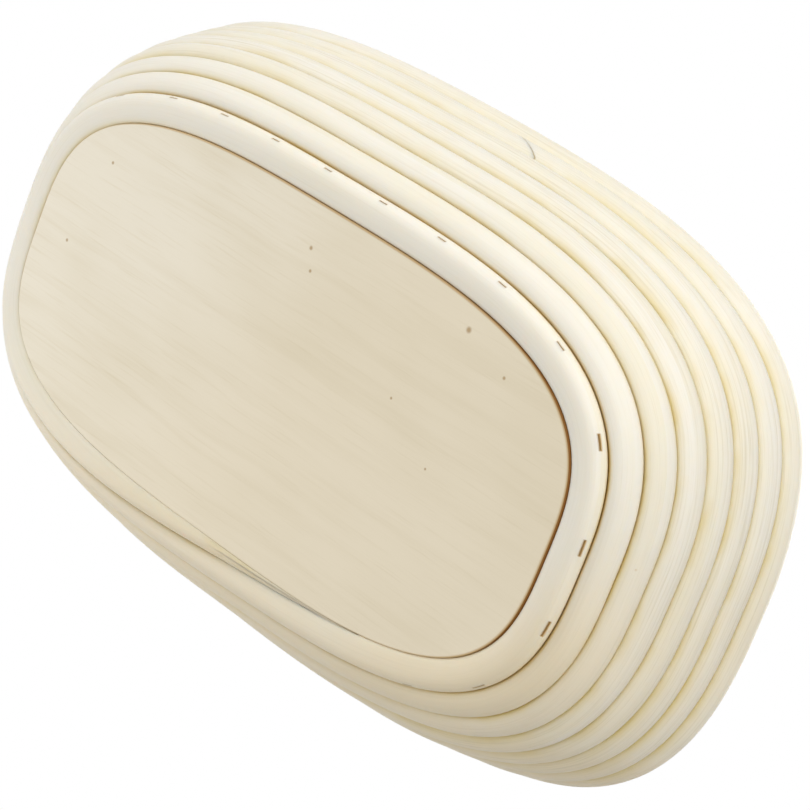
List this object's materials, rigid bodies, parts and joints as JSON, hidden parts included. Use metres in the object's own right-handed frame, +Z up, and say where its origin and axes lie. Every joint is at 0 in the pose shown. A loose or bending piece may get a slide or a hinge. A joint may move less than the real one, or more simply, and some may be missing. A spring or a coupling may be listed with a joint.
{
  "type": "proofing basket",
  "caption": "Oval cane proofing basket for bread dough: a flat wooden base board ringed by a climbing coil of round cane, stapled turn to turn, with a flared wall and an open top.",
  "frame": {"origin": "under the middle of the base board, in the plane that the basket stands on", "axes": "+X along the oval's long axis, towards the end away from the coil's climb; +Z up, out of the open top"},
  "size_m": [0.284, 0.1732, 0.0643],
  "materials": {
    "board": "sanded, unvarnished, fine grain along the length",
    "cane": "peeled round cane, satin, fine lengthwise fibres",
    "staple": "dull, browned by damp"
  },
  "bodies": {
    "root": {"base_board": "board", "lower_cane": "cane", "upper_cane": "cane", "board_staples": "staple", "turn_2_staples": "staple", "turn_3_staples": "staple", "turn_4_staples": "staple", "turn_5_staples": "staple", "turn_6_staples": "staple", "turn_7_staples": "staple", "turn_8_staples": "staple"}
  },
  "joints": []
}
